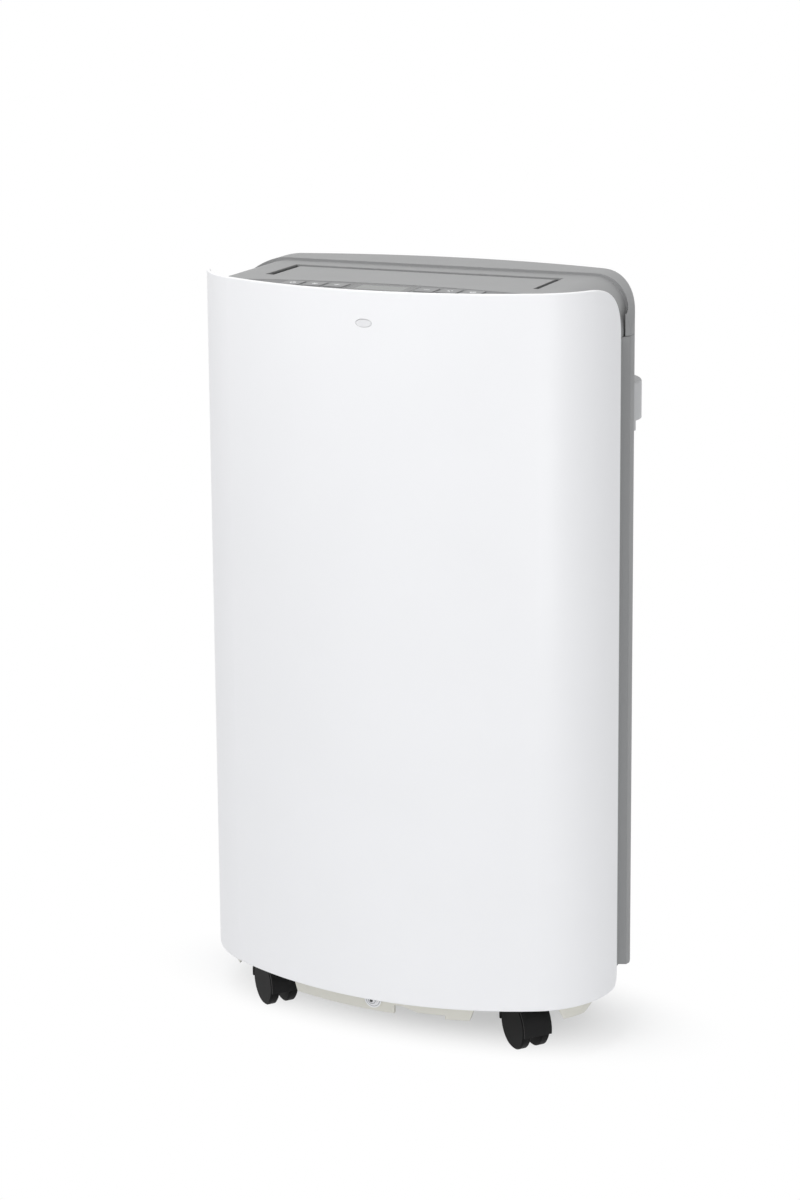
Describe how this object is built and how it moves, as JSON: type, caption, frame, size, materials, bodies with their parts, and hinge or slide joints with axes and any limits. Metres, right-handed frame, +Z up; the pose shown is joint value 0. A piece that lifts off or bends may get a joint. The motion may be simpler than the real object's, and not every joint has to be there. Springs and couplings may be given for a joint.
{
  "type": "portable air conditioner",
  "caption": "Free-standing portable air conditioner with a bowed front panel, top outlet flap, pull-off rear filters, hose collar and swivelling casters.",
  "frame": {"origin": "on the floor under the middle of the outline", "axes": "+Z up, front faces -Y, +X to the right seen from the front"},
  "size_m": [0.448, 0.27, 0.79],
  "materials": {
    "white_panel": "satin white moulding",
    "grey_shell": "fine spark-eroded texture",
    "light_grey": "fine texture",
    "strip_grey": "smooth satin",
    "key_grey": "smooth satin",
    "lens": "smoked clear",
    "circuit_board": "solder mask",
    "cream_plastic": "moulded",
    "dark_plastic": "moulded",
    "inner_plastic": "moulded",
    "motor_steel": "plain zinc",
    "black_paint": "semi-gloss black",
    "grommet_rubber": "matt",
    "copper": "drawn tube",
    "fin_aluminium": "plain fins",
    "filter_net": "woven net",
    "caster_plastic": "satin black",
    "wheel_plastic": "satin black"
  },
  "bodies": {
    "cabinet": {"accumulator": "black_paint", "base_pan": "cream_plastic", "compressor": "black_paint", "compressor_grommets": "grommet_rubber", "compressor_nuts": "motor_steel", "cond_motor": "motor_steel", "cond_scroll": "inner_plastic", "condenser_coil": "fin_aluminium", "control_box": "inner_plastic", "control_panel": "strip_grey", "cord_gland": "dark_plastic", "display_board": "circuit_board", "display_window": "lens", "drip_partition": "cream_plastic", "evap_motor": "motor_steel", "evap_scroll": "inner_plastic", "evaporator_coil": "fin_aluminium", "exhaust_collar": "grey_shell", "exhaust_plenum": "inner_plastic", "flap_motor": "motor_steel", "front_panel": "white_panel", "handle_left": "light_grey", "handle_right": "light_grey", "outlet_duct": "dark_plastic", "rear_cover": "grey_shell", "refrigerant_pipes": "copper", "run_capacitor": "motor_steel", "sensor_window": "lens", "splash_motor": "motor_steel", "top_cover": "grey_shell"},
    "key_1": {"key_1": "key_grey"},
    "key_2": {"key_2": "key_grey"},
    "key_3": {"key_3": "key_grey"},
    "key_4": {"key_4": "key_grey"},
    "key_5": {"key_5": "key_grey"},
    "key_6": {"key_6": "key_grey"},
    "outlet_flap": {"outlet_flap": "grey_shell"},
    "swing_vane_1": {"swing_vane_1": "dark_plastic"},
    "swing_vane_2": {"swing_vane_2": "dark_plastic"},
    "swing_vane_3": {"swing_vane_3": "dark_plastic"},
    "swing_vane_4": {"swing_vane_4": "dark_plastic"},
    "swing_vane_5": {"swing_vane_5": "dark_plastic"},
    "vane_link": {"vane_link": "dark_plastic"},
    "evap_blower": {"evap_blower": "dark_plastic"},
    "cond_blower": {"cond_blower": "dark_plastic"},
    "splash_wheel": {"splash_wheel": "dark_plastic"},
    "upper_filter": {"upper_filter_grille": "grey_shell", "upper_filter_mesh": "filter_net"},
    "lower_filter": {"lower_filter_grille": "grey_shell", "lower_filter_mesh": "filter_net"},
    "drain_plug": {"drain_plug": "cream_plastic"},
    "caster_front_left": {"caster_front_left": "caster_plastic"},
    "wheels_front_left": {"wheels_front_left": "wheel_plastic"},
    "caster_front_right": {"caster_front_right": "caster_plastic"},
    "wheels_front_right": {"wheels_front_right": "wheel_plastic"},
    "caster_rear_left": {"caster_rear_left": "caster_plastic"},
    "wheels_rear_left": {"wheels_rear_left": "wheel_plastic"},
    "caster_rear_right": {"caster_rear_right": "caster_plastic"},
    "wheels_rear_right": {"wheels_rear_right": "wheel_plastic"}
  },
  "joints": [
    {"name": "key_1_press", "type": "slide", "parent": "cabinet", "child": "key_1", "axis": [0, 0, -1], "range_m": [0, 0.001], "stiffness_N_per_m": 400},
    {"name": "key_2_press", "type": "slide", "parent": "cabinet", "child": "key_2", "axis": [0, 0, -1], "range_m": [0, 0.001], "stiffness_N_per_m": 400},
    {"name": "key_3_press", "type": "slide", "parent": "cabinet", "child": "key_3", "axis": [0, 0, -1], "range_m": [0, 0.001], "stiffness_N_per_m": 400},
    {"name": "key_4_press", "type": "slide", "parent": "cabinet", "child": "key_4", "axis": [0, 0, -1], "range_m": [0, 0.001], "stiffness_N_per_m": 400},
    {"name": "key_5_press", "type": "slide", "parent": "cabinet", "child": "key_5", "axis": [0, 0, -1], "range_m": [0, 0.001], "stiffness_N_per_m": 400},
    {"name": "key_6_press", "type": "slide", "parent": "cabinet", "child": "key_6", "axis": [0, 0, -1], "range_m": [0, 0.001], "stiffness_N_per_m": 400},
    {"name": "flap_hinge", "type": "hinge", "parent": "cabinet", "child": "outlet_flap", "pos_m": [0, 0.0221, 0.7783], "axis": [-1, 0, 0], "range_deg": [0, 75]},
    {"name": "vane_1_swing", "type": "hinge", "parent": "cabinet", "child": "swing_vane_1", "pos_m": [-0.1132, -0.0081, 0.754], "axis": [0, 1, 0], "range_deg": [-35, 35]},
    {"name": "vane_2_swing", "type": "hinge", "parent": "cabinet", "child": "swing_vane_2", "pos_m": [-0.0566, -0.0081, 0.754], "axis": [0, 1, 0], "range_deg": [-35, 35]},
    {"name": "vane_3_swing", "type": "hinge", "parent": "cabinet", "child": "swing_vane_3", "pos_m": [0, -0.0081, 0.754], "axis": [0, 1, 0], "range_deg": [-35, 35]},
    {"name": "vane_4_swing", "type": "hinge", "parent": "cabinet", "child": "swing_vane_4", "pos_m": [0.0566, -0.0081, 0.754], "axis": [0, 1, 0], "range_deg": [-35, 35]},
    {"name": "vane_5_swing", "type": "hinge", "parent": "cabinet", "child": "swing_vane_5", "pos_m": [0.1132, -0.0081, 0.754], "axis": [0, 1, 0], "range_deg": [-35, 35]},
    {"name": "vane_link_slide", "type": "slide", "parent": "cabinet", "child": "vane_link", "axis": [1, 0, 0], "range_m": [-0.00584, 0.00584]},
    {"name": "evap_blower_spin", "type": "hinge", "parent": "cabinet", "child": "evap_blower", "pos_m": [-0.03, -0.035, 0.57], "axis": [0, 1, 0], "continuous": true},
    {"name": "cond_blower_spin", "type": "hinge", "parent": "cabinet", "child": "cond_blower", "pos_m": [-0.075, -0.035, 0.205], "axis": [0, 1, 0], "continuous": true},
    {"name": "splash_spin", "type": "hinge", "parent": "cabinet", "child": "splash_wheel", "pos_m": [-0.14, 0.03, 0.098], "axis": [0, 1, 0], "continuous": true},
    {"name": "upper_filter_pull", "type": "slide", "parent": "cabinet", "child": "upper_filter", "axis": [0, 1, 0], "range_m": [0, 0.06]},
    {"name": "lower_filter_pull", "type": "slide", "parent": "cabinet", "child": "lower_filter", "axis": [0, 1, 0], "range_m": [0, 0.06]},
    {"name": "drain_plug_pull", "type": "slide", "parent": "cabinet", "child": "drain_plug", "axis": [0, -1, 0], "range_m": [0, 0.02]},
    {"name": "caster_front_left_swivel", "type": "hinge", "parent": "cabinet", "child": "caster_front_left", "pos_m": [-0.142, -0.057, 0.078], "axis": [0, 0, 1], "continuous": true},
    {"name": "wheels_front_left_roll", "type": "hinge", "parent": "caster_front_left", "child": "wheels_front_left", "pos_m": [-0.14646, -0.05298, 0.025], "axis": [0.6691, 0.7431, 0], "continuous": true},
    {"name": "caster_front_right_swivel", "type": "hinge", "parent": "cabinet", "child": "caster_front_right", "pos_m": [0.142, -0.057, 0.078], "axis": [0, 0, 1], "continuous": true},
    {"name": "wheels_front_right_roll", "type": "hinge", "parent": "caster_front_right", "child": "wheels_front_right", "pos_m": [0.13754, -0.05298, 0.025], "axis": [0.6691, 0.7431, 0], "continuous": true},
    {"name": "caster_rear_left_swivel", "type": "hinge", "parent": "cabinet", "child": "caster_rear_left", "pos_m": [-0.142, 0.055, 0.078], "axis": [0, 0, 1], "continuous": true},
    {"name": "wheels_rear_left_roll", "type": "hinge", "parent": "caster_rear_left", "child": "wheels_rear_left", "pos_m": [-0.14646, 0.05901, 0.025], "axis": [0.6691, 0.7431, 0], "continuous": true},
    {"name": "caster_rear_right_swivel", "type": "hinge", "parent": "cabinet", "child": "caster_rear_right", "pos_m": [0.142, 0.055, 0.078], "axis": [0, 0, 1], "continuous": true},
    {"name": "wheels_rear_right_roll", "type": "hinge", "parent": "caster_rear_right", "child": "wheels_rear_right", "pos_m": [0.13754, 0.05901, 0.025], "axis": [0.6691, 0.7431, 0], "continuous": true}
  ],
  "couplings": [
    {"joint": "vane_2_swing", "follows": "vane_1_swing", "ratio": 1},
    {"joint": "vane_3_swing", "follows": "vane_1_swing", "ratio": 1},
    {"joint": "vane_4_swing", "follows": "vane_1_swing", "ratio": 1},
    {"joint": "vane_5_swing", "follows": "vane_1_swing", "ratio": 1},
    {"joint": "vane_link_slide", "follows": "vane_1_swing", "m_per_rad": -0.00939}
  ]
}
